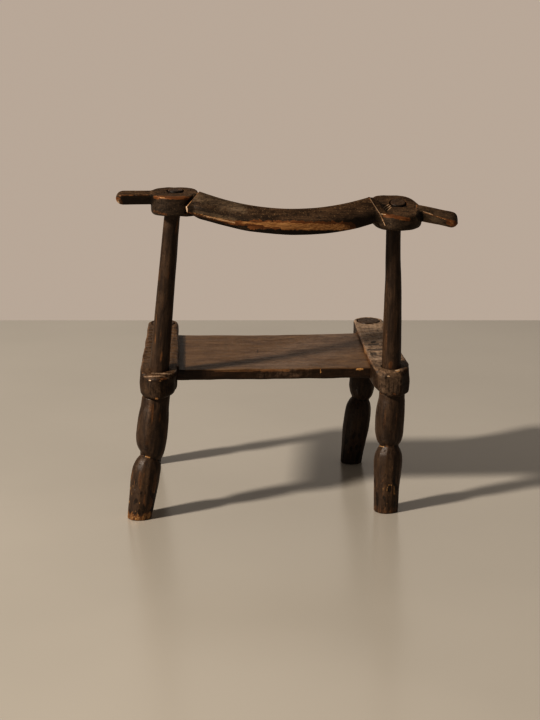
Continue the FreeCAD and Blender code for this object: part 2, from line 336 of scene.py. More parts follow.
def knob_top(side):
    """A point on a knob's sloping top and the way it faces."""
    size = KNOBS[side]
    slope = math.radians(size["slope"])
    point = vec(size["centre"]) + vec((0, 0, size["height"]))
    return point, vec((0, -math.sin(slope), math.cos(slope)))


def carved(points, h_points, seed, depth=0.45):
    """Knife facets, softened by handling: long shallow marks that run along the grain."""
    marks = noise(h_points, (9.0, 9.0, 38.0), seed)
    fine = noise(h_points, (3.2, 3.2, 26.0), seed + 40)
    dents = noise(points, 5.5, seed + 80)
    return depth * marks + 0.14 * fine + 0.5 * ramp(dents, 0.42, 0.75)


def faceted(angle, count):
    """The radius of a many-sided section whose corners lie on the unit circle."""
    facet = 2 * math.pi / count
    return math.cos(facet / 2) / np.cos(np.mod(angle, facet) - facet / 2)


def leg_body(name, points):
    """A leg below its side rail: two bulbs with a slanted waist between them."""
    leg = LEGS[name]
    q = local(points, leg_axes(name))
    near_waist = np.exp(-((q[:, 2] - leg["waist"]) / 20) ** 2)
    h = q[:, 2] + (q[:, 0] * leg["slant"][0] + q[:, 1] * leg["slant"][1]) * near_waist
    x = q[:, 0] - curve(leg["sway"])(h)
    y = q[:, 1]
    angle = np.arctan2(y, x) + 0.12 * np.sin(h / 31 + leg["seed"])
    polygon = faceted(angle + leg["seed"], 11)
    radius = curve(leg["outline"])(h) * (1 + 0.45 * (polygon - 1) + 0.006)
    radius = radius * (1 + 0.012 * np.cos(2 * angle + leg["seed"]))
    body = (np.hypot(x, y) - radius) * 0.9
    body += carved(points, q, leg["seed"])
    ground = -points[:, 2] + 0.5 * np.maximum(noise(points, 7.0, leg["seed"] + 3), -0.2)
    rail = local(points, SEAT_AXES)[:, 2] + RAIL_THICKNESS
    body = rounded_max(body, ground, 1.6)
    return rounded_max(body, rail + 0.2, 1.2)


def around_tenon(side, q, back=0.0):
    """How far points lie from the axis of a post's tenon, which isn't quite the post's own."""
    shift = TENON_SHIFT[side]
    return np.hypot(q[:, 0] - shift[0], q[:, 1] - shift[1] + back)


def rear_leg_field(side):
    """A rear leg with its post, which goes on above the side rail, and the tenon on top."""
    name = "rear_leg_" + side
    post_axes = frame_along(*rear_leg_points(side))
    post_outline = curve(POSTS[side]["outline"])
    post_sway = curve(POSTS[side]["sway"])
    end_point, end_normal = knob_top(side)
    knob_bottom = KNOBS[side]["centre"][2]
    seed = LEGS[name]["seed"]

    def field(points):
        q = local(points, post_axes)
        x = q[:, 0] - post_sway(q[:, 2])
        angle = np.arctan2(q[:, 1], x) + 0.15 * np.sin(q[:, 2] / 47 + seed)
        radius = post_outline(q[:, 2]) * (1 + 0.3 * (faceted(angle, 9) - 1) + 0.004)
        post = np.hypot(x, q[:, 1]) - radius
        in_rail = ramp(points[:, 2], 236, 222)
        post = post + carved(points, q, seed + 7, 0.22) * (1 - in_rail)
        post = rounded_max(post, points[:, 2] - (knob_bottom + 4.0), 1.0)
        post = rounded_max(post, -q[:, 2] - 3.0, 2.0)
        tenon = around_tenon(side, q) - TENON_RADIUS
        proud = (points - end_point) @ end_normal - TENON_PROUD - 0.5 * noise(points, 4.5, seed + 9)
        tenon = rounded_max(tenon, proud, 1.1)
        tenon = np.maximum(tenon, knob_bottom + 1.5 - points[:, 2])
        return np.minimum(rounded_min(leg_body(name, points), post, 1.5), tenon)
    return field


def front_tenon_radius(level):
    """A front tenon spreads a little near the top of its rail, where it was wedged."""
    return FRONT_TENON_RADIUS + FRONT_TENON_FLARE * ramp(level, -RAIL_THICKNESS, 0)


def front_leg_field(side):
    """A front leg, with the tenon that goes up through the side rail."""
    name = "front_leg_" + side
    axes = frame_along(*front_leg_points(side))
    seed = LEGS[name]["seed"]

    def field(points):
        q = local(points, axes)
        level = local(points, SEAT_AXES)[:, 2]
        tenon = np.hypot(q[:, 0], q[:, 1]) - front_tenon_radius(level)
        proud = level - 0.5 - 0.7 * noise(points, 6.0, seed + 9)
        tenon = rounded_max(tenon, proud, 1.3)
        tenon = np.maximum(tenon, -q[:, 2] - 4)
        return np.minimum(leg_body(name, points), tenon)
    return field


def rail_ripples(side, q):
    """How deep the adze has bitten into a rail's top, in curved strokes across it."""
    centre = blend(*HOLE_X[side], q[:, 1] / RAIL_RUN)
    across = q[:, 0] - centre
    wander = noise(q, (60.0, 24.0, 60.0), RAIL_SEEDS[side] + 10)
    phase = (q[:, 1] + 0.012 * across ** 2 + 5.0 * wander) / SCOOP_PITCH[side]
    scoop = np.abs(np.sin(math.pi * phase))
    reach = ramp(q[:, 1], 34, 60) * ramp(q[:, 1], RAIL_RUN - 14, RAIL_RUN - 34)
    return (0.35 + 1.15 * scoop) * reach * (0.75 + 0.5 * wander)


def rail_plan(side, q):
    """How far points lie outside a rail seen from above, and how far to its outer side."""
    seed = RAIL_SEEDS[side]
    share = np.clip(q[:, 1] / RAIL_RUN, 0, 1)
    across = q[:, 0] - blend(*HOLE_X[side], share)
    past_end = q[:, 1] - np.clip(q[:, 1], 0, RAIL_RUN)
    past_end = np.where(past_end < 0, past_end * RAIL_RADIUS[0] / RAIL_REAR_REACH, past_end)
    out = across * math.copysign(1.0, HOLE_X[side][0])
    plan = np.hypot(across, past_end) - blend(*RAIL_RADIUS, share)
    plan += 0.9 * noise(q, (26.0, 34.0, 40.0), seed)
    plan += 0.35 * noise(q, (8.0, 11.0, 14.0), seed + 1)
    plan -= 1.2 * ramp(out, 0, 20) * np.exp(-((q[:, 2] + 22) / 9) ** 2)
    rear_end = ramp(q[:, 1], 16, 8)
    if side == "left":
        return plan + (3.2 * rear_end + 2.6 * ramp(q[:, 2], -6, -20)) * ramp(out, 0, -14), out
    facets = np.maximum(np.abs(across + 2) * 0.80 - q[:, 1] * 0.60, -q[:, 1] * 0.999)
    plan = np.where(q[:, 1] < 8, rounded_max(plan, facets - 29.5, 1.0), plan)
    return plan + (1.8 * ramp(out, 4, 20) + 0.8 * ramp(out, -4, -20)) * rear_end, out


def rail_body(side, points):
    """A rail without its holes: rippled on top, drooping and chamfered at its rear end."""
    seed = RAIL_SEEDS[side]
    q = local(points, SEAT_AXES)
    plan, out = rail_plan(side, q)
    rim_end = ramp(q[:, 1], -5, -18)
    droop = 1.9 * ramp(q[:, 1], 6, -22)
    top_face = q[:, 2] + rail_ripples(side, q) + droop
    top_face += 0.45 * noise(q, (14.0, 18.0, 30.0), seed + 2)
    top_face += 0.2 * noise(q, (4.0, 6.0, 9.0), seed + 3)
    low_end, low_round = (0.6, 11.0) if side == "left" else (-1.0, 14.0)
    bottom_face = -q[:, 2] - RAIL_THICKNESS + low_end * ramp(q[:, 1], 16, 8)
    bottom_face += 0.5 * noise(q, (12.0, 20.0, 30.0), seed + 4)
    body = rounded_max(plan, bottom_face, blend(6.5, low_round, ramp(out, 4, -14)))
    if side == "right":
        body = rounded_max(body, -0.60 * (points[:, 0] - 150) - 0.80 * (points[:, 2] - 191), 2.0)
    rim = 0.77 * plan + 0.64 * (q[:, 2] + droop + 6.0 + 1.2 * noise(q, 8.0, seed + 6))
    body = rounded_max(body, rim - 8 * (1 - rim_end), 0.9)
    return rounded_max(body, top_face, blend(4.0, 1.6, rim_end))


def rail_field(side):
    """A side rail with a hole for each of its legs and the groove for the seat board."""
    post_axes = frame_along(*rear_leg_points(side))
    post_outline = curve(POSTS[side]["outline"])
    tenon_axes = frame_along(*front_leg_points(side))
    board = board_field(GROOVE_GAP)

    def field(points):
        body = rail_body(side, points)
        post = local(points, post_axes)
        hole = np.hypot(post[:, 0], post[:, 1]) - post_outline(post[:, 2])
        body = rounded_max(body, -hole, 0.4)
        tenon = local(points, tenon_axes)
        level = local(points, SEAT_AXES)[:, 2]
        hole = np.hypot(tenon[:, 0], tenon[:, 1] + 0.5) - front_tenon_radius(level) - 0.9
        body = rounded_max(body, -hole, 1.2)
        return rounded_max(body, -board(points), 0.8)
    return field


def board_side_x(side, along):
    """Where the board's end lies in a rail's groove."""
    share = along / RAIL_RUN
    inward = -math.copysign(1.0, HOLE_X[side][0])
    return blend(*HOLE_X[side], share) + inward * (blend(*RAIL_RADIUS, share) - TONGUE_DEPTH)


def board_field(gap=0.0):
    """The seat board; with a gap, the plain room that its grooves leave for it."""
    def field(points):
        q = local(points, SEAT_AXES)
        sides = np.maximum(board_side_x("left", q[:, 1]) - q[:, 0],
                           q[:, 0] - board_side_x("right", q[:, 1]))
        top = q[:, 2] + BOARD_DROP
        bottom = -q[:, 2] - BOARD_DROP - BOARD_THICKNESS
        rear = BOARD_REAR - q[:, 1]
        front = q[:, 1] - BOARD_FRONT
        if gap:
            body = rounded_max(np.maximum(rear, front), np.maximum(top, bottom), 2.0)
            return np.maximum(body, sides) - gap
        inside = ramp(sides, -8, -22)
        dish = 1.6 * ramp(np.abs(q[:, 0]) / 150, 1.0, 0.1) * ramp(q[:, 1], 20, 60)
        waves = 0.55 * noise(q, (46.0, 30.0, 60.0), 51) + 0.3 * noise(q, (22.0, 9.0, 30.0), 52)
        top = top + (dish + waves * 0.8 + 0.4) * inside
        bottom = bottom + 0.7 * noise(q, (30.0, 22.0, 60.0), 53) * inside
        chips = 1.1 * noise(q, (38.0, 60.0, 18.0), 54) + 0.5 * noise(q, (11.0, 60.0, 8.0), 55)
        rear = rear + chips * inside
        front = front + 1.1 * noise(q, (38.0, 60.0, 18.0), 56) * inside
        body = rounded_max(rounded_max(top, rear, 2.2), rounded_max(top, front, 6.0), 0.5)
        body = rounded_max(body, rounded_max(bottom, np.maximum(rear, front), 5.0), 0.5)
        return np.maximum(body, sides)
    return field


def knob_body(side, points):
    """A round, flat-topped knob; the right one is squarer and more heavily rounded below."""
    size = KNOBS[side]
    seed = size["seed"]
    centre = vec(size["centre"])
    dx = points[:, 0] - centre[0]
    dy = points[:, 1] - centre[1]
    if side == "left":
        squareness = 2.2
        crown = -0.0014 * dx ** 2
        lift = 1.5 + 1.5 * ramp(dx, 4, 26)
        low_round = blend(4.5, 7.0, ramp(-dx, 6, 30))
    else:
        squareness = blend(2.45, 2.05, ramp(dx - dy, -20, 20))
        crown = 0.0025 * np.maximum(dx, 0) ** 2 - 0.0045 * np.minimum(dx, 0) ** 2
        lift = 1.2
        low_round = blend(blend(7.0, 17.0, ramp(-dx, 6, 30)), 10.0, ramp(dx, 6, 30))
    plan = (np.abs(dx) ** squareness + np.abs(dy) ** squareness + 1e-3) ** (1 / squareness)
    wall = plan - size["radius"]
    wall += 0.5 * noise(points, (16.0, 16.0, 30.0), seed) + 0.2 * noise(points, 5.0, seed + 1)
    point, normal = knob_top(side)
    top = (points - point) @ normal + crown
    top += 0.35 * noise(points, (9.0, 12.0, 20.0), seed + 2)
    bottom = centre[2] - points[:, 2] + 0.4 * noise(points, 12.0, seed + 3) - lift
    return rounded_max(rounded_max(wall, bottom, low_round), top, 3.6)


def beyond(points, planes):
    """How far points lie past the outermost of some planes, each a point and a facing."""
    return np.maximum.reduce([(points - vec(spot)) @ vec(facing) for spot, facing in planes])


def bar_stick(points):
    """The bowed and sagging bar as if it had no ends: a leaning oval, flattened behind."""
    start, end = np.array(BAR_START), np.array(BAR_END)
    run, back, rise = end - start
    t = (points[:, 0] - start[0]) / run
    bend = np.maximum(4 * t * (1 - t), 0)
    turn = np.where((t > 0) & (t < 1), 4 * (1 - 2 * t), 0)
    near_left = ramp(t, BAR_LEFT_PART, 0)
    y = points[:, 1] - (start[1] + back * t - BAR_BOW * bend - BAR_LEFT_BACK * near_left)
    z = points[:, 2] - (start[2] + rise * t - BAR_SAG * bend + BAR_LEFT_DROP * near_left)
    slope_y = (back - BAR_BOW * turn) / run
    slope_z = (rise - BAR_SAG * turn) / run
    sin, cos = math.sin(BAR_LEAN), math.cos(BAR_LEAN)
    slope_tall = slope_y * sin + slope_z * cos
    slope_thick = -slope_y * cos + slope_z * sin
    tall = (y * sin + z * cos) / np.sqrt(1 + slope_tall ** 2)
    thick = (-y * cos + z * sin) / np.sqrt(1 + slope_thick ** 2)
    a = np.abs(tall / BAR_HALF_WIDTH) + 1e-4
    b = np.abs(thick / BAR_HALF_THICKNESS) + 1e-4
    level = (a ** BAR_POWER + b ** BAR_POWER) ** (1 / BAR_POWER)
    slope = level ** (1 - BAR_POWER) * np.hypot(a ** (BAR_POWER - 1) / BAR_HALF_WIDTH,
                                                b ** (BAR_POWER - 1) / BAR_HALF_THICKNESS)
    body = (level - 1) / np.maximum(slope, 0.03)
    worn_flat = ramp(t, 0.02, 0.42) * ramp(t, 1.02, 0.66)
    body = rounded_max(body, -y * 0.963 - z * 0.27 - blend(*BAR_FLAT, worn_flat), 1.2)
    body = rounded_max(body, curve(BAR_UNDERSIDE)(points[:, 0]) - points[:, 2], 3.2)
    along = np.stack([thick, tall, points[:, 0]], -1)
    marks = 0.35 * noise(along, (10.0, 9.0, 34.0), 71) + 0.12 * noise(along, (2.6, 2.6, 20.0), 72)
    return body + marks


def bar_body(points):
    """The bar with its ends cut, and as it was before that."""
    whole = bar_stick(points)
    left_end = beyond(points, BAR_LEFT_END) - 6 * ramp(points[:, 1], -160, -154)
    body = rounded_max(whole, left_end, 0.8)
    past = beyond(points, BAR_LIP)
    body = body + LIP_STEP * ramp(past, -0.5, 0.5) + LIP_FALL * np.maximum(past, 0)
    body = body - LIP_RIDGE * np.exp(-(past / LIP_WIDTH) ** 2)
    return rounded_max(body, past - LIP_REACH, 2.0), whole


def segment_distance(points, start, end):
    start, end = vec(start), vec(end)
    step = end - start
    t = np.clip((points - start) @ step / float(step @ step), 0, 1)
    return length(points - start - t[:, None] * step)


def stub_body(side, points):
    """A flat stub beyond a knob, rolled about its own length and rounded at its tip."""
    size = STUBS[side]
    seed = size["seed"]
    axes = frame_along(size["root"], size["tip"])
    along = axes[1][2]
    across = unit(np.cross(along, (0, 0, 1))) * math.copysign(1.0, along[0])
    up = np.array((0, 0, 1)) - along * along[2]
    roll = math.radians(size["roll"])
    rows = np.stack([across * math.cos(roll) - up * math.sin(roll),
                     up * math.cos(roll) + across * math.sin(roll), along]).astype(np.float32)
    q = (points - axes[0]) @ rows.T
    reach = float(np.linalg.norm(np.subtract(size["tip"], size["root"])))
    t = np.clip(q[:, 2] / reach, 0, 1)
    wide = np.abs(q[:, 0]) - blend(*size["width"], t) / 2
    tall = np.abs(q[:, 1]) - blend(*size["height"], t) / 2
    sides = rounded_max(wide, tall, 2.0)
    body = rounded_max(rounded_max(sides, q[:, 2] - reach, 12.0), -q[:, 2] - 4, 1.0)
    body = body + 0.3 * noise(q, (7.0, 7.0, 24.0), seed)
    return body + 0.12 * noise(q, (2.6, 2.6, 18.0), seed + 5)


def back_rail_field():
    """The whole back rail: bar, knobs and stubs, with a bore for each post's tenon."""
    bores = {side: frame_along(*rear_leg_points(side)) for side in KNOBS}

    def field(points):
        left = knob_body("left", points)
        right = knob_body("right", points)
        bar, whole_bar = bar_body(points)
        body = np.minimum(rounded_min(bar, right, 4.0), rounded_min(left, bar, 0.5))
        off_end = beyond(points, BAR_LEFT_END[:2])
        groove = np.maximum(np.abs(off_end - END_GROOVE_WIDTH / 2) - END_GROOVE_WIDTH / 2,
                            np.abs(whole_bar + END_GROOVE_DEPTH / 2 - 2) - END_GROOVE_DEPTH / 2 - 2)
        groove = np.maximum(groove, np.maximum(461 - points[:, 2], points[:, 1] + 160))
        body = rounded_max(body, -groove, 0.8)
        for side in STUBS:
            body = rounded_min(body, stub_body(side, points), 1.5)
        for side, axes in bores.items():
            bore = around_tenon(side, local(points, axes), back=0.9)
            body = rounded_max(body, -(bore - TENON_RADIUS - TENON_HOLE_GAP), 0.9)
        return body
    return field


# ---------------------------------------------------------------------------------------------
# From field to mesh

def grid_points(low, counts, step, offset=0.0):
    axes = [low[i] + (np.arange(counts[i]) + offset) * step for i in range(3)]
    return np.stack(np.meshgrid(*axes, indexing="ij"), -1).reshape(-1, 3).astype(np.float32)


def sample(field, low, high, step):
    """Field values on a grid, worked out in full only near the surface."""
    low, high = np.array(low, float), np.array(high, float)
    blocks = np.ceil((high - low) / (step * COARSE)).astype(int)
    middles = grid_points(low, blocks, step * COARSE, (COARSE - 1) / (2 * COARSE))
    rough = field(middles).reshape(blocks)
    reach = BAND + 1.4 * math.sqrt(3) / 2 * COARSE * step
    values = np.where(rough < 0, -BAND, BAND).astype(np.float32)
    near = np.abs(rough) < reach
    for axis in range(3):
        values = np.repeat(values, COARSE, axis)
        near = np.repeat(near, COARSE, axis)
    places = np.argwhere(near)
    points = (low + places * step).astype(np.float32)
    values[near] = np.clip(field(points), -BAND, BAND)
    return values


def surface_net(values, low, step):
    """Vertices and quads of the zero surface of a grid of values."""
    inside = values < 0
    shape = [n - 1 for n in values.shape]
    count = np.zeros(shape, np.uint8)
    for i, j, k in itertools.product((0, 1), repeat=3):
        count += inside[i:i + shape[0], j:j + shape[1], k:k + shape[2]]
    active = (count > 0) & (count < 8)
    cells = np.argwhere(active)
    number = np.full(shape, -1, np.int32)
    number[active] = np.arange(len(cells))
    total = np.zeros((len(cells), 3))
    hits = np.zeros(len(cells))
    for axis in range(3):
        step_one = np.eye(3, dtype=int)[axis]
        for a, b in itertools.product((0, 1), repeat=2):
            offset = np.insert((a, b), axis, 0)
            first = values[tuple((cells + offset).T)]
            second = values[tuple((cells + offset + step_one).T)]
            crossing = (first < 0) != (second < 0)
            share = np.where(crossing, first / np.where(crossing, first - second, 1), 0)
            total += np.where(crossing[:, None], offset + share[:, None] * step_one, 0)
            hits += crossing
    vertices = low + (cells + total / hits[:, None]) * step
    quads = []
    for axis in range(3):
        other = [a for a in range(3) if a != axis]
        head = [slice(1, n) for n in shape]
        head[axis] = slice(0, shape[axis])
        tail = list(head)
        tail[axis] = slice(1, shape[axis] + 1)
        change = inside[tuple(head)] != inside[tuple(tail)]
        at = np.argwhere(change)
        base = at.copy()
        base[:, other] += 1
        outward = inside[tuple(base.T)]
        ring = []
        for a, b in ((0, 0), (1, 0), (1, 1), (0, 1)):
            shift = np.zeros(3, int)
            shift[other[0]] = a - 1
            shift[other[1]] = b - 1
            ring.append(number[tuple((base + shift).T)])
        ring = np.stack(ring, -1)
        flip = outward if axis == 1 else ~outward
        ring[flip] = ring[flip][:, ::-1]
        quads.append(ring)
    return vertices, np.concatenate(quads)


def box_blur(values, radius):
    """The mean of a grid over a cube round each node."""
    for axis in range(3):
        pad = [(0, 0)] * 3
        pad[axis] = (radius + 1, radius)
        sums = np.cumsum(np.pad(values, pad, mode="edge"), axis, dtype=np.float64)
        size = values.shape[axis]
        width = 2 * radius + 1
        high = np.take(sums, np.arange(width, width + size), axis)
        values = (high - np.take(sums, np.arange(size), axis)) / width
    return values.astype(np.float32)


def read_grid(values, low, step, points):
    """Values of a grid at points between its nodes."""
    place = (points - low) / step
    cell = np.clip(np.floor(place).astype(int), 0, np.array(values.shape) - 2)
    part = place - cell
    total = np.zeros(len(points))
    for corner in itertools.product((0, 1), repeat=3):
        weight = np.prod(np.where(corner, part, 1 - part), -1)
        total += values[tuple((cell + corner).T)] * weight
    return total


def edge_signs(values, low, step, vertices):
    """How far each vertex stands out, as on an arris, or lies back, as in a corner."""
    fine = read_grid(box_blur(values, max(1, round(1.8 / step))), low, step, vertices)
    broad = read_grid(box_blur(values, max(1, round(3.6 / step))), low, step, vertices)
    return fine, broad


def carve(name, piece):
    """A piece's name, vertices and quads, and how its vertices stand out."""
    step = piece["step"] * DETAIL
    low = np.array(piece["low"], float)
    values = sample(piece["field"], low, piece["high"], step)
    vertices, quads = surface_net(values, low, step)
    fine, broad = edge_signs(values, low, step, vertices)
    return name, vertices, quads, fine, broad


# ---------------------------------------------------------------------------------------------
# Pieces

# From the layout frame to the row frame: the rear left foot is a mount in the record.
MOUNTS = {mount["name"]: np.array(mount["pos_m"]) for mount in frame["record"]["mounts"]}
SHIFT = MOUNTS["foot_rear_left"] - np.array(LEGS["rear_leg_left"]["foot"]) * MM


def cad_limits(node, margin):
    """The carving room of a piece: its CAD box with a margin, in the layout frame."""
    low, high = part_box(node)
    return (np.array(low) - SHIFT) / MM - margin, (np.array(high) - SHIFT) / MM + margin


def rear_grain(side):
    leg = leg_axes("rear_leg_" + side)
    post = frame_along(*rear_leg_points(side))
    rise = vec((0, 0, np.linalg.norm(post[0] - leg[0])))

    def grain(vertices):
        above = ramp(vertices[:, 2], 200, 212)[:, None]
        return blend(local(vertices, leg), local(vertices, post) + rise, above)
    return grain


def front_grain(side):
    leg = leg_axes("front_leg_" + side)
    return lambda vertices: local(vertices, leg)


def rail_grain(vertices):
    q = local(vertices, SEAT_AXES)
    return np.stack([q[:, 0], q[:, 2], q[:, 1]], -1)


def board_grain(vertices):
    q = local(vertices, SEAT_AXES)
    return np.stack([q[:, 1], q[:, 2], q[:, 0]], -1)


def back_rail_grain(vertices):
    return np.stack([vertices[:, 1], vertices[:, 2], vertices[:, 0]], -1)


def plan_pieces():
    """For each piece its field, the way of its grain, its grid's step and room, and its slot."""
    plan = {"back_rail": (back_rail_field(), back_rail_grain, 0.95, "back_rail_wood"),
            "seat_board": (board_field(), board_grain, 1.25, "seat_wood")}
    for side in HOLE_X:
        plan["side_rail_" + side] = (rail_field(side), rail_grain, 0.88, "side_rail_wood")
        plan["rear_leg_" + side] = (rear_leg_field(side), rear_grain(side), 0.85, "leg_wood")
        plan["front_leg_" + side] = (front_leg_field(side), front_grain(side), 0.75, "leg_wood")
    pieces = {}
    for name, (field, grain, step, slot) in plan.items():
        low, high = cad_limits(name, 6.5 if "side_rail" in name else 3.5)
        pieces[name] = {"field": field, "grain": grain, "step": step, "slot": slot,
                        "low": low, "high": high}
    return pieces


# How rubbed the arrises are.
EDGE_WEAR = {"back_rail": 0.62, "seat_board": 0.35, "side_rail_left": 0.45,
             "side_rail_right": 0.45, "rear_leg_left": 0.55, "rear_leg_right": 0.55,
             "front_leg_left": 0.4, "front_leg_right": 0.4}

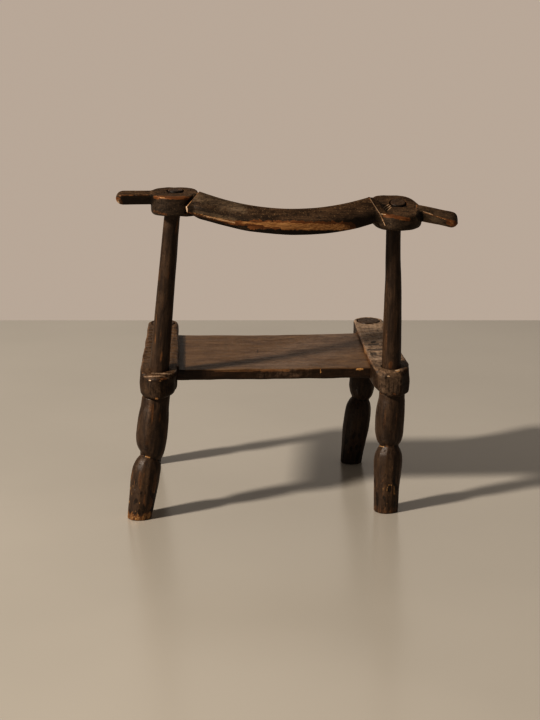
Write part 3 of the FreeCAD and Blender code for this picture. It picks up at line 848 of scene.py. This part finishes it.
# Marks on the pieces by kind: a line between two points in the layout frame, the reach of the
# mark round it and its strength.  Hollows aren't darkened in the places listed to keep them so,
# and no edge is rubbed in kept places.  Beside real wear, dust and stains, some marks are painted
# light: painted highlights and glints among the bare marks, painted sheen and highlights among
# the dust marks, and painted shade and shadows among the dark marks, each said where it stands.
PLACES = {
    "back_rail": {
        "bare_and_glint": (
            ((-50, -193, 449.5), (0, -196, 446), 1.8, 0.75),
            ((-18, -195, 446.5), (98, -196, 442.5), 3.6, 0.74),
            ((6, -199, 443.4), (88, -198, 440.8), 3.4, 0.98),
            ((-120, -183, 462), (-73, -190, 452), 0.8, 0.9),
            ((-166, -182, 484), (-160, -183, 484), 1.0, 0.8),
            # Painted highlight: a pale line and spot along the edge of the bar's left end.
            ((-113, -157, 486), (-129, -183, 471), 0.45, 1.2),
            ((-129, -183, 471), (-128, -184, 464), 1.1, 1.4),
            ((134, -150, 476), (146, -172, 457), 0.65, 1.6),
            ((146, -172, 457), (152, -181, 442), 0.55, 1.5),
            # Painted highlight along the bar's lower arris on the left.
            ((-105, -185, 458), (-62, -190, 449), 1.5, 1.12),
            ((173, -182, 450), (180, -181, 450), 1.5, 0.55),
            ((153, -150, 462.5), (161, -150, 468), 0.5, 1.5),
            ((155, -155, 461), (163, -152, 466), 0.5, 1.5),
            ((158, -158, 459.5), (164, -155, 464.5), 0.5, 1.4),
            ((147, -171, 457), (154, -170, 456), 0.6, 1.5),
            ((-225, -159, 477.6), (-224.6, -159, 474), 1.7, 1.15),
            ((250, -155, 442), (254, -153, 440), 1.6, 0.6),
            # Painted highlight: a thin pale line along the right stub's arris.
            ((210, -156, 458), (224, -156, 453), 0.4, 1.5),
            ((229, -155, 450.6), (243, -155, 445.4), 0.35, 1.2)),
        "worn": (
            ((-126, -182, 462), (-98, -186, 455), 1.3, 1.0),
            ((-98, -186, 455), (-73, -190, 450), 2.0, 1.0),
            ((-73, -190, 450), (-38, -195, 447), 3.4, 1.0),
            ((-38, -195, 447), (104, -196, 443), 6.6, 1.0),
            ((-173, -179, 484), (-128, -181, 483), 2.6, 0.85),
            ((-174, -164, 462), (-158, -182, 460), 2.2, 0.5),
            ((152, -176, 456), (186, -180, 450), 3.0, 0.9),
            ((190, -146, 465), (200, -158, 461), 2.6, 0.35),
            ((-226, -158, 478), (-223, -157, 474), 4.4, 0.95),
            ((249, -153, 441), (257, -150, 439), 4.6, 1.1)),
        "dust_and_sheen": (
            # Painted highlight along the bar's lower arris on the left, in the dust colours.
            ((-118, -184, 464), (-60, -191, 453), 2.6, 1.0),
            ((205, -156, 449), (252, -153, 437), 6.0, 0.9),
            ((150, -178, 444), (200, -165, 444), 12.0, 0.22),
            ((150, -150, 464), (195, -150, 464), 16.0, 0.12),
            ((-112, -170, 478), (-55, -180, 463), 14.0, 1.0),
            ((-60, -180, 463), (60, -185, 450), 10.0, 0.3),
            # Dust and painted sheen on the right stub's top.
            ((210, -150, 460), (255, -148, 446), 9.0, 0.45)),
        "no_hollow_dark": (((136, -150, 474), (152, -176, 450), 14.0, 1.0),),
        "dark": (
            # Painted shade: the near side of the left stub darkened.
            ((-176, -160, 478), (-218, -159, 476), 9.0, 0.75),
            ((-120, -172, 458), (-60, -190, 441), 4.0, 0.7),
            ((-40, -193, 435), (125, -186, 432), 4.0, 1.0),
            ((100, -190, 446), (140, -180, 450), 8.0, 0.6),
            # Painted shade: dark crescents for the shadowed gap at the near edge of each post's
            # tenon.
            ((-155, -150, 487), (-135, -150, 487), 1.1, 1.8),
            ((165, -148, 464.4), (187, -148, 464.4), 1.1, 1.8),
            # Painted shadow where the right stub meets the knob.
            ((204, -158, 455), (206, -157, 449), 5.0, 0.9)),
        "kept": (
            ((-150, -146, 480), (-144, -141, 492), 15.0, 1.0),
            ((172, -140, 455), (172, -138, 475), 15.0, 1.0)),
    },
    "seat_board": {
        "bare_and_glint": (
            ((122, -109, 215), (130, -109, 215), 2.0, 0.6),
            ((68, -110, 216), (68, -110, 211), 0.9, 0.8)),
        "worn": (
            ((-90, -109, 215), (-20, -109, 215), 1.3, 0.6),
            ((-20, -109, 215), (20, -109, 215), 2.2, 0.8),
            ((-110, -60, 220), (0, 10, 225), 40.0, 0.3),
            ((-30, -45, 221), (20, -30, 222), 7.0, 0.5)),
        "dark": (
            ((-22, -20, 223), (-21, -8, 223), 1.2, 1.0),
            # Painted shadow of the left rail on the board's strip beside it.
            ((-138, -106, 215), (-136, 84, 226), 4.6, 1.3)),
        "dust_and_sheen": (((10, -60, 219), (110, 40, 226), 50.0, 0.55),),
    },
    "side_rail_left": {
        "dust_and_sheen": (
            ((-194, -150, 205), (-184, -156, 200), 14.0, 0.14),
            # Painted highlights: cream lines along the rim of the rail's rear end.
            ((-182, -150, 223), (-151, -152, 222), 0.9, 1.3),
            ((-151, -152, 222), (-146, -145, 227), 0.9, 1.2),
            ((-193, -150, 218), (-167, -155, 220), 0.8, 1.3),
            ((-167, -155, 220), (-157, -156, 216), 0.8, 1.2)),
        "bare_and_glint": (
            # Painted glint: a white spot on the rail's near end.
            ((-186, -155, 213.8), (-184, -156, 213.6), 0.7, 1.5),
            ((-171, -158, 213.2), (-169, -158, 213.2), 0.7, 0.7),
            ((-177, -156, 186.3), (-174.5, -156, 186), 1.5, 0.75)),
        "worn": (
            ((-168, -158, 216), (-162, -156, 216), 1.8, 0.8),
            ((-198, -110, 218), (-192, 100, 232), 8.0, 0.45)),
    },
    "side_rail_right": {
        "dust_and_sheen": (
            # Dust and painted sheen over the right rail's top.
            ((165, -70, 227), (160, 140, 240), 34.0, 1.0),
            ((165, -145, 222), (165, -80, 226), 22.0, 0.45),
            ((155, -152, 205), (166, -158, 200), 17.0, 0.5),
            ((158, -145, 225.5), (170, -148, 224.5), 0.9, 1.4)),
        "bare_and_glint": (
            # Painted glints: two white spots on the rail's near end.
            ((175, -148, 222), (181, -148, 223), 0.8, 1.3),
            ((162, -157, 216), (165, -157, 215.5), 0.7, 1.3),
            ((142, -52, 226), (141, -20, 229), 1.4, 0.5),
            ((177, -146, 221), (180, -146, 221), 1.6, 0.9)),
        "worn": (
            ((143, -98, 222), (141, 60, 234), 3.2, 0.55),
            ((172, -156, 188.5), (174, -156, 188), 1.8, 0.7)),
        "dark": (
            ((157, 0, 232), (161, 1, 232), 2.0, 1.0),
            ((149, -65, 228), (155, -62, 228), 2.2, 1.0),
            ((146, -40, 229), (168, -38, 229), 1.4, 0.8),
            ((150, -14, 231), (166, -10, 231), 1.2, 0.8)),
    },
    "rear_leg_left": {
        "bare_and_glint": (((-193, -158, 99.5), (-187, -158, 97.5), 1.1, 0.9),),
        "kept": (((-148, -141, 478), (-144, -141, 492), 15.0, 1.0),),
        # Painted shade: a dark crescent for the shadowed gap at the tenon's near edge.
        "dark": (((-154, -149, 487.6), (-136, -149, 487.8), 1.5, 1.8),),
    },
    "rear_leg_right": {
        "bare_and_glint": (
            ((151, -142, 106.2), (160, -146, 105), 0.8, 1.1),
            ((176, -146, 44), (176, -146, 31), 1.0, 0.7),
            ((168, -147, 46), (172, -147, 46), 0.9, 0.7),
            ((166, -147, 43), (165, -147, 37), 0.9, 0.6)),
        "worn": (((168, -140, 226), (169, -140, 232), 3.0, 0.6),),
        "kept": (((172, -138, 455), (172, -138, 475), 15.0, 1.0),),
        # Painted shade: a dark crescent for the shadowed gap at the tenon's near edge.
        "dark": (((166, -147, 465), (186, -147, 465), 1.5, 1.8),),
    },
    "front_leg_left": {"kept": (((-167, 126, 236), (-167, 126, 244), 20.0, 1.0),)},
    "front_leg_right": {"kept": (((165, 126, 236), (165, 126, 244), 20.0, 1.0),)},
}
MARKS_SEEN_FROM = (-140.0, -2563.0, 804.0)
SMALL_MARK = 8

# How rubbed the feet and the lower legs are.
FOOT_WEAR = {"rear_leg_left": 0.85, "rear_leg_right": 0.45, "front_leg_left": 0.35,
             "front_leg_right": 0.10}
LEG_WEAR = {"rear_leg_left": 0.86, "rear_leg_right": 0.66, "front_leg_left": 0.5,
            "front_leg_right": 0.50}


def ragged_noise(vertices, seed):
    """What makes the edge of a mark uneven."""
    return 0.38 * noise(vertices, 6.5, seed) + 0.28 * noise(vertices, 2.3, seed + 1)


def mark_distance(vertices, start, end, reach):
    """Distance from a mark's line; across the line of sight for a small mark, so that it lies on
    the surface that someone behind the chair sees."""
    sight = vec(unit(np.add(start, end) / 2 - np.array(MARKS_SEEN_FROM)))
    squash = blend(0.04, 1.0, float(ramp(reach, 5.0, 10.0))) - 1

    def squashed(points):
        points = np.asarray(points, np.float32)
        return points + np.multiply.outer(squash * (points @ sight), sight)
    return segment_distance(squashed(vertices), squashed(start), squashed(end) + 0.01)


def placed(name, channel, vertices, facing, seed):
    """The strength of one kind of mark; small marks lie only on the side seen from behind."""
    total = np.zeros(len(vertices), np.float32)
    ragged = ragged_noise(vertices, seed)
    for start, end, reach, strength in PLACES.get(name, {}).get(channel, ()):
        away = mark_distance(vertices, start, end, reach)
        soft = min(1.0, reach / 3)
        found = strength * ramp(away / reach + ragged * soft, 1.25, 0.75)
        if reach < SMALL_MARK:
            found = found * ramp(facing[:, 1], 0.25, -0.05)
        total = np.maximum(total, found)
    return total


def leg_marks(name, vertices, seed):
    """Wear on a leg: a rubbed ring in the waist, streaks below it and a bare foot."""
    leg = LEGS[name]
    q = local(vertices, leg_axes(name))
    height = q[:, 2] + q[:, 0] * leg["slant"][0] + q[:, 1] * leg["slant"][1]
    ring = np.exp(-((height - leg["waist"]) / 2.4) ** 2) * (0.8 + noise(vertices, 6.0, seed))
    low = ramp(height, 88, 62)
    streaks = ramp(noise(q, (3.2, 3.2, 17.0), seed + 2), 0.02, 0.40) * low
    broad = ramp(noise(q, (9.0, 9.0, 42.0), seed + 7), 0.0, 0.5) * ramp(height, 96, 66) * 0.6
    upper = ramp(noise(q, (6.0, 6.0, 40.0), seed + 3), 0.12, 0.6) * ramp(height, 96, 120) * 0.66
    foot = ramp(vertices[:, 2] + 16 * ragged_noise(vertices, seed + 4), 15, 6) * FOOT_WEAR[name]
    chips = ramp(noise(q, (2.6, 2.6, 6.5), seed + 5), 0.40, 0.58) * ramp(height, 74, 40)
    scorch = ramp(noise(q, (6.5, 6.5, 15.0), seed + 6), 0.08, 0.40) * ramp(height, 76, 40)
    worn = np.maximum.reduce([0.8 * ring, 0.60 * streaks, broad, upper])
    return {"worn": np.maximum(worn * LEG_WEAR[name], foot),
            "bare_and_glint": np.maximum(foot * 0.55, chips * 0.75 * LEG_WEAR[name]),
            "dark": scorch * 0.95 * (1 - foot)}


def add_piece(name, piece, vertices, quads, fine, broad):
    """The mesh of a piece with its grain and marks, riding the root in its CAD node's stead."""
    mesh = bpy.data.meshes.new(name)
    mesh.vertices.add(len(vertices))
    mesh.vertices.foreach_set("co", (vertices * MM + SHIFT).astype(np.float32).ravel())
    mesh.loops.add(quads.size)
    mesh.loops.foreach_set("vertex_index", quads.astype(np.int32).ravel())
    mesh.polygons.add(len(quads))
    mesh.polygons.foreach_set("loop_start", np.arange(0, quads.size, 4, dtype=np.int32))
    mesh.update(calc_edges=True)
    mesh.shade_smooth()
    grain = mesh.attributes.new("grain", "FLOAT_VECTOR", "POINT")
    grain.data.foreach_set("vector", (piece["grain"](vertices) * MM).astype(np.float32).ravel())
    seed = sum(map(ord, name))
    points = vertices.astype(np.float32)
    facing = np.zeros(len(vertices) * 3, np.float32)
    mesh.vertex_normals.foreach_get("vector", facing)
    marks = leg_marks(name, points, seed) if name in LEGS else {}
    facing = facing.reshape(-1, 3)
    # Hollows are darkened by how far a vertex lies back in them, found from the blurred field
    # alone; some listed places keep theirs undarkened.
    channels = {"worn": ramp(fine, 0.12, 0.40) * EDGE_WEAR[name], "bare_and_glint": 0, "dark": 0,
                "dust_and_sheen": 0, "no_hollow_dark": 0, "hollow_dark": ramp(broad, -0.12, -0.75),
                # How much a face points up. The material gives such faces the lighter top colours
                # and the rest the darker side colours: painted light, lit tops and shaded sides.
                "up": ramp(facing[:, 2], 0.30, 0.85)}
    kept = 1 - placed(name, "kept", points, facing, seed)
    for number, channel in enumerate(("worn", "bare_and_glint", "dark", "dust_and_sheen", "no_hollow_dark")):
        spots = placed(name, channel, points, facing, seed + 5 * number)
        found = np.maximum(channels[channel] * kept, marks.get(channel, 0))
        channels[channel] = np.maximum(found, spots)
    channels["hollow_dark"] = channels["hollow_dark"] * (1 - channels.pop("no_hollow_dark"))
    # On the side rails, dust and painted sheen stay only on faces that point up and on the rear
    # ends.
    if "side_rail" in name:
        rear = 0.55 * ramp(points[:, 1], -140, -152)
        channels["dust_and_sheen"] = channels["dust_and_sheen"] * np.maximum(channels["up"], rear)
    for channel, values in channels.items():
        attribute = mesh.attributes.new(channel, "FLOAT", "POINT")
        attribute.data.foreach_set("value", values.astype(np.float32))
    solid = bpy.data.objects.new("carved_" + name, mesh)
    bpy.context.scene.collection.objects.link(solid)
    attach(solid, "root")
    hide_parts(name)
    return solid


# ---------------------------------------------------------------------------------------------
# Materials

class Graph:
    """Short calls to build a node tree."""

    def __init__(self, tree):
        self.tree = tree
        tree.nodes.clear()

    def node(self, kind, settings=None, **inputs):
        node = self.tree.nodes.new(kind)
        for key, value in (settings or {}).items():
            setattr(node, key, value)
        for key, value in inputs.items():
            self.put(node.inputs[key.replace("_", " ")], value)
        return node

    def put(self, socket, value):
        if isinstance(value, bpy.types.NodeSocket):
            self.tree.links.new(value, socket)
        else:
            socket.default_value = value

    def maths(self, operation, a, b=0.0, c=0.0):
        node = self.tree.nodes.new("ShaderNodeMath")
        node.operation = operation
        for socket, value in zip(node.inputs, (a, b, c)):
            self.put(socket, value)
        return node.outputs[0]

    def mix(self, share, a, b, kind="MIX"):
        node = self.tree.nodes.new("ShaderNodeMix")
        node.data_type = "RGBA"
        node.blend_type = kind
        self.put(node.inputs["Factor"], share)
        self.put(node.inputs["A"], a)
        self.put(node.inputs["B"], b)
        return node.outputs["Result"]

    def attribute(self, name, output="Fac"):
        node = self.tree.nodes.new("ShaderNodeAttribute")
        node.attribute_name = name
        return node.outputs[output]

    def scaled(self, vector, scale, shift=(0, 0, 0)):
        node = self.node("ShaderNodeMapping", Vector=vector)
        node.inputs["Scale"].default_value = scale
        node.inputs["Location"].default_value = shift
        return node.outputs[0]

    def noise(self, vector, scale, detail=3.0, rough=0.55, warp=0.0):
        node = self.node("ShaderNodeTexNoise", Vector=vector, Scale=scale, Detail=detail,
                         Roughness=rough, Distortion=warp)
        return node.outputs["Fac"]

    def ramp(self, value, low, high, start=0.0, end=1.0):
        node = self.tree.nodes.new("ShaderNodeMapRange")
        node.interpolation_type = "SMOOTHSTEP"
        for key, number in (("Value", value), ("From Min", low), ("From Max", high),
                            ("To Min", start), ("To Max", end)):
            self.put(node.inputs[key], number)
        return node.outputs[0]

    def shade(self, kind, surface):
        self.tree.links.new(surface.outputs[0], self.node(kind).inputs["Surface"])


def rgb(red, green, blue):
    return (red, green, blue, 1.0)


def wood(name, look):
    """Old carved wood under a handled patina, with its grain along the piece."""
    material = bpy.data.materials.new(name)
    material.use_nodes = True
    g = Graph(material.node_tree)
    grain = g.attribute("grain", "Vector")
    up = g.attribute("up")
    streak_space = g.scaled(grain, (1, 1, 0.075), look["shift"])
    streaks = g.noise(streak_space, 230, 4, 0.6, look["warp"])
    fibres = g.noise(g.scaled(grain, (1, 1, 0.045)), 1150, 3, 0.6)
    mottle = g.noise(g.scaled(grain, (1, 1, 0.45), look["shift"]), 48, 4, 0.62, 0.8)
    speckle = g.noise(grain, 460, 3, 0.7)
    grit = g.noise(grain, 1500, 2, 0.6)
    pits = g.ramp(g.noise(g.scaled(grain, (1, 1, 0.3)), 420, 2, 0.5), 0.66, 0.74)
    cross = g.ramp(g.noise(g.scaled(grain, (0.10, 1, 1)), 330, 3, 0.6, 0.6), 0.54, 0.66)
    cross = g.maths("MULTIPLY", cross, g.maths("MULTIPLY", up, look["cross"]))

    tone = g.maths("ADD", g.maths("MULTIPLY", streaks, 0.5), g.maths("MULTIPLY", mottle, 0.5))
    low, high = g.ramp(tone, 0.36, 0.56), g.ramp(tone, 0.50, 0.74)
    # Painted light: faces that point up take the lighter top colours, as if lit, and the rest take
    # the darker side colours, as if shaded.
    sides = g.mix(high, g.mix(low, look["deep"], look["middle"]), look["light"])
    tops = g.mix(high, g.mix(low, look["lit_top_deep"], look["lit_top_middle"]), look["lit_top_light"])
    colour = g.mix(up, sides, tops)
    # Real dust, and painted sheen and highlights, in the dust colours.
    dust_and_sheen = g.mix(g.ramp(tone, 0.36, 0.66), look["dust_and_sheen_deep"], look["dust_and_sheen_light"])
    colour = g.mix(g.attribute("dust_and_sheen"), colour, dust_and_sheen)
    colour = g.mix(g.ramp(fibres, 0.55, 0.72, 0.0, 0.45), colour, look["deep"])
    stain = g.noise(g.scaled(grain, (1, 1, 0.5), look["shift"]), 190, 4, 0.7, 0.5)
    colour = g.mix(g.ramp(stain, 0.50, 0.64, 0.0, look["stain"]), colour, look["deep"])
    dust = g.maths("MULTIPLY", g.ramp(speckle, 0.56, 0.70), look["speckle"])
    dust = g.maths("MULTIPLY", dust, g.maths("MULTIPLY_ADD", up, 0.6, 0.4))
    colour = g.mix(dust, colour, look["dust"])
    colour = g.mix(cross, colour, look["deep"])
    hatch = g.ramp(g.noise(g.scaled(grain, (1, 0.10, 1)), 520, 3, 0.6), 0.52, 0.64)
    hatch = g.maths("MULTIPLY", hatch, g.maths("MULTIPLY_ADD", up, -look["hatch"], look["hatch"]))
    colour = g.mix(hatch, colour, look["soot_and_shade"])

    break_up = g.maths("ADD", g.maths("MULTIPLY", streaks, 0.5), g.maths("MULTIPLY", speckle, 0.5))

    def broken(channel, amount):
        """A mark's strength with its edge broken up by the grain."""
        uneven = g.maths("MULTIPLY_ADD", break_up, amount, -amount / 2)
        return g.maths("ADD", g.attribute(channel), uneven)

    worn = g.ramp(broken("worn", 0.9), 0.28, 0.80, 0.0, look["wear"])
    worn_colour = g.mix(g.ramp(streaks, 0.40, 0.62), look["worn"], look["worn_light"])
    colour = g.mix(worn, colour, worn_colour)
    # Bare wood, and painted highlights and glints: marks stronger than 1 turn to the pale colour.
    bare_and_glint = g.ramp(broken("bare_and_glint", 1.5), 0.35, 0.65)
    bare_and_glint_colour = g.mix(g.ramp(fibres, 0.42, 0.60), look["bare_and_glint"], look["bare_light"])
    bare_and_glint_colour = g.mix(g.ramp(g.attribute("bare_and_glint"), 1.0, 1.3), bare_and_glint_colour, look["pale"])
    colour = g.mix(bare_and_glint, colour, bare_and_glint_colour)
    # Dark marks take the near-black colour: real stains and scorch, and painted shade and shadows.
    colour = g.mix(g.ramp(broken("dark", 0.9), 0.3, 0.8, 0.0, 0.75), colour, look["soot_and_shade"])
    # Hollows darker, found from the shape alone, and less so under bare marks.
    hollow_dark = g.maths("MULTIPLY", g.attribute("hollow_dark"), g.maths("MULTIPLY_ADD", bare_and_glint, -0.8, 0.8))
    colour = g.mix(hollow_dark, colour, look["soot_and_shade"])
    colour = g.mix(g.maths("MULTIPLY", pits, 0.6), colour, look["soot_and_shade"])

    rough = g.ramp(speckle, 0.35, 0.7, look["rough"] - 0.07, look["rough"] + 0.10)
    for part, share in ((worn, -0.14), (bare_and_glint, 0.08), (hollow_dark, 0.25), (up, look["matt_top"])):
        rough = g.maths("MULTIPLY_ADD", part, share, rough)
    height = g.maths("MULTIPLY", streaks, 0.9)
    for part, share in ((fibres, 0.5), (speckle, 0.45), (grit, 0.15), (pits, -0.9), (cross, -0.9)):
        height = g.maths("MULTIPLY_ADD", part, share, height)
    bump = g.node("ShaderNodeBump", Strength=look["bump"], Distance=0.0006, Height=height)
    shader = g.node("ShaderNodeBsdfPrincipled", Base_Color=colour, Roughness=rough,
                    Normal=bump.outputs[0], IOR=1.45, Specular_IOR_Level=look["gloss"])
    g.shade("ShaderNodeOutputMaterial", shader)
    return material


# Each look paints light into its colours. Its top colours are the same wood lighter, as if lit,
# than the deep, middle and light colours of its shaded sides. The near-black colour serves real
# stains and painted shade alike, and the pale colour serves real pale wood and painted highlights
# and glints.
LOOKS = {
    "back_rail_wood": {
        "shift": (0.1, 0.2, 0.3), "deep": rgb(0.024, 0.0160, 0.0102),
        "middle": rgb(0.049, 0.0325, 0.0215), "light": rgb(0.085, 0.057, 0.0365),
        "lit_top_deep": rgb(0.036, 0.0200, 0.0108), "lit_top_middle": rgb(0.088, 0.0505, 0.0270),
        "lit_top_light": rgb(0.170, 0.102, 0.055), "dust_and_sheen_deep": rgb(0.078, 0.054, 0.035),
        "dust_and_sheen_light": rgb(0.175, 0.124, 0.080), "dust": rgb(0.30, 0.20, 0.105), "speckle": 0.8,
        "worn": rgb(0.135, 0.054, 0.019), "worn_light": rgb(0.25, 0.110, 0.042),
        "bare_and_glint": rgb(0.24, 0.115, 0.042), "bare_light": rgb(0.46, 0.26, 0.115),
        "soot_and_shade": rgb(0.008, 0.005, 0.003), "wear": 0.85, "rough": 0.47, "bump": 0.7, "cross": 0.0,
        "hatch": 0.25, "warp": 0.4, "gloss": 0.22, "stain": 0.75, "matt_top": 0.24,
        "pale": rgb(0.55, 0.45, 0.34)},
    "leg_wood": {
        "shift": (0.4, 0.1, 0.0), "deep": rgb(0.029, 0.0168, 0.0102),
        "middle": rgb(0.066, 0.0395, 0.0232), "light": rgb(0.116, 0.071, 0.0410),
        "lit_top_deep": rgb(0.042, 0.023, 0.012), "lit_top_middle": rgb(0.085, 0.050, 0.028),
        "lit_top_light": rgb(0.130, 0.080, 0.046), "dust_and_sheen_deep": rgb(0.060, 0.040, 0.028),
        "dust_and_sheen_light": rgb(0.110, 0.080, 0.058), "dust": rgb(0.20, 0.13, 0.075), "speckle": 0.3,
        "worn": rgb(0.135, 0.056, 0.0200), "worn_light": rgb(0.25, 0.115, 0.042),
        "bare_and_glint": rgb(0.25, 0.130, 0.048), "bare_light": rgb(0.46, 0.28, 0.120),
        "soot_and_shade": rgb(0.009, 0.006, 0.004), "wear": 0.72, "rough": 0.44, "bump": 0.6, "cross": 0.0,
        "hatch": 0.0, "warp": 0.4, "gloss": 0.36, "stain": 0.60, "matt_top": 0.06,
        "pale": rgb(0.60, 0.42, 0.24)},
    "side_rail_wood": {
        "shift": (0.0, 0.6, 0.2), "deep": rgb(0.021, 0.0110, 0.0055),
        "middle": rgb(0.042, 0.0225, 0.0110), "light": rgb(0.072, 0.041, 0.0210),
        "lit_top_deep": rgb(0.060, 0.032, 0.0155), "lit_top_middle": rgb(0.135, 0.078, 0.0400),
        "lit_top_light": rgb(0.225, 0.140, 0.080), "dust_and_sheen_deep": rgb(0.25, 0.172, 0.114),
        "dust_and_sheen_light": rgb(0.45, 0.325, 0.230), "dust": rgb(0.30, 0.205, 0.130), "speckle": 0.5,
        "worn": rgb(0.14, 0.060, 0.022), "worn_light": rgb(0.26, 0.125, 0.052),
        "bare_and_glint": rgb(0.28, 0.140, 0.054), "bare_light": rgb(0.50, 0.31, 0.150),
        "soot_and_shade": rgb(0.009, 0.006, 0.004), "wear": 0.75, "rough": 0.50, "bump": 0.8, "cross": 0.85,
        "hatch": 0.65, "warp": 0.4, "gloss": 0.28, "stain": 0.55, "matt_top": 0.06,
        "pale": rgb(0.55, 0.45, 0.34)},
    "seat_wood": {
        "shift": (0.7, 0.3, 0.1), "deep": rgb(0.022, 0.0115, 0.0060),
        "middle": rgb(0.044, 0.0225, 0.0115), "light": rgb(0.078, 0.040, 0.0200),
        "lit_top_deep": rgb(0.095, 0.048, 0.0220), "lit_top_middle": rgb(0.168, 0.096, 0.0470),
        "lit_top_light": rgb(0.240, 0.148, 0.078), "dust_and_sheen_deep": rgb(0.125, 0.080, 0.054),
        "dust_and_sheen_light": rgb(0.26, 0.178, 0.124), "dust": rgb(0.26, 0.185, 0.125), "speckle": 0.25,
        "worn": rgb(0.190, 0.090, 0.038), "worn_light": rgb(0.27, 0.145, 0.066),
        "bare_and_glint": rgb(0.34, 0.165, 0.056), "bare_light": rgb(0.52, 0.30, 0.120),
        "soot_and_shade": rgb(0.018, 0.010, 0.006), "wear": 0.70, "rough": 0.40, "bump": 0.5, "cross": 0.0,
        "hatch": 0.45, "warp": 1.6, "gloss": 0.34, "stain": 0.35, "matt_top": 0.06,
        "pale": rgb(0.62, 0.44, 0.26)},
}


# ---------------------------------------------------------------------------------------------
# Studio

FLOOR_COLOUR = rgb(0.54, 0.495, 0.432)
FLOOR_CLOUDS = rgb(0.512, 0.470, 0.410)
WALL_COLOUR = rgb(0.385, 0.325, 0.275)
AMBIENT_COLOUR = rgb(1.0, 0.91, 0.82)
KEY_COLOUR = (1.0, 0.93, 0.84)
BOUNCE_COLOUR = (1.0, 0.90, 0.80)
AMBIENT_STRENGTH = 0.145
LIGHTS_AIM = (0.0, 0.0, 0.15)
CAMERA_TURN = -3.09
CAMERA_TILT = -13.12


def floor_material():
    material = bpy.data.materials.new("pale_floor")
    material.use_nodes = True
    g = Graph(material.node_tree)
    place = g.node("ShaderNodeTexCoord").outputs["Object"]
    clouds = g.noise(place, 1.6, 3, 0.5)
    colour = g.mix(g.ramp(clouds, 0.35, 0.65), FLOOR_COLOUR, FLOOR_CLOUDS)
    shader = g.node("ShaderNodeBsdfPrincipled", Base_Color=colour, Roughness=0.22)
    g.shade("ShaderNodeOutputMaterial", shader)
    return material


def add_floor():
    """A plain pale floor that ends some way behind the chair."""
    far, near, side = 1.31, -7.0, 7.0
    rise = side * math.sin(math.radians(CAMERA_TURN))
    corners = [(-side, near, 0), (side, near, 0), (side, far + rise, 0), (-side, far - rise, 0)]
    mesh = bpy.data.meshes.new("floor")
    mesh.from_pydata(corners, [], [(0, 1, 2, 3)])
    floor = bpy.data.objects.new("floor", mesh)
    bpy.context.scene.collection.objects.link(floor)
    floor.data.materials.append(floor_material())
    return floor


def add_world():
    """A pale wall colour for the camera, and a dimmer soft light for the chair."""
    world = bpy.data.worlds.new("studio")
    world.use_nodes = True
    bpy.context.scene.world = world
    g = Graph(world.node_tree)
    wall = g.node("ShaderNodeBackground", Color=WALL_COLOUR, Strength=1.0)
    soft = g.node("ShaderNodeBackground", Color=AMBIENT_COLOUR, Strength=AMBIENT_STRENGTH)
    seen = g.node("ShaderNodeLightPath").outputs["Is Camera Ray"]
    mixed = g.node("ShaderNodeMixShader", Fac=seen)
    g.tree.links.new(soft.outputs[0], mixed.inputs[1])
    g.tree.links.new(wall.outputs[0], mixed.inputs[2])
    g.shade("ShaderNodeOutputWorld", mixed)


def aim(thing, target):
    direction = target - np.array(thing.location)
    flat = math.hypot(direction[0], direction[1])
    thing.rotation_euler = (math.atan2(flat, -direction[2]), 0.0,
                            math.atan2(direction[1], direction[0]) - math.pi / 2)


def add_light(name, place, size, power, colour, only=None):
    """A soft light aimed at the chair; one for a single collection gives only sheen."""
    light = bpy.data.lights.new(name, "AREA")
    light.shape = "ELLIPSE"
    light.size, light.size_y = size
    light.energy = power
    light.color = colour
    lamp = bpy.data.objects.new(name, light)
    bpy.context.scene.collection.objects.link(lamp)
    lamp.location = place
    aim(lamp, np.array(LIGHTS_AIM))
    lamp.visible_camera = False
    if only:
        lamp.visible_diffuse = False
        lamp.light_linking.receiver_collection = only


def add_camera():
    """A long lens behind the chair, a little to its left and above the back rail."""
    low, high = np.array(cad_box[0]), np.array(cad_box[1])
    back, height, aside = 2.5412, 0.8039, -0.1568
    camera = bpy.data.cameras.new("camera")
    camera.lens = 85.03
    camera.sensor_width = 36.0
    thing = bpy.data.objects.new("camera", camera)
    bpy.context.scene.collection.objects.link(thing)
    middle = (low + high) / 2
    thing.location = (middle[0] + aside, middle[1] - back, low[2] + height)
    thing.rotation_euler = (math.radians(90 + CAMERA_TILT), 0.0, math.radians(CAMERA_TURN))
    bpy.context.scene.camera = thing


def main():
    bpy.context.scene.view_settings.view_transform = "Standard"
    bpy.context.scene.view_settings.look = "High Contrast"
    add_camera()
    stage = bpy.data.collections.new("stage")
    stage.objects.link(add_floor())
    add_world()
    add_light("key", (-5.23, -2.92, 4.04), (0.8, 0.8), 475, KEY_COLOUR)
    add_light("bounce", (0.0, 2.6, 1.3), (5.0, 2.4), 4.0, BOUNCE_COLOUR)
    materials = {slot: wood(slot, look) for slot, look in LOOKS.items()}
    chair = bpy.data.collections.new("chair")
    add_light("wall_sheen", (0.0, 2.7, 0.6), (5.0, 1.2), 3.8, BOUNCE_COLOUR, only=chair)
    add_light("floor_sheen", (0.0, 2.7, 0.6), (5.0, 1.2), 0.7, BOUNCE_COLOUR, only=stage)
    pieces = plan_pieces()
    with ThreadPoolExecutor(4) as pool:
        carvings = list(pool.map(lambda item: carve(*item), pieces.items()))
    for name, *shape in carvings:
        solid = add_piece(name, pieces[name], *shape)
        solid.data.materials.append(materials[pieces[name]["slot"]])
        chair.objects.link(solid)


main()
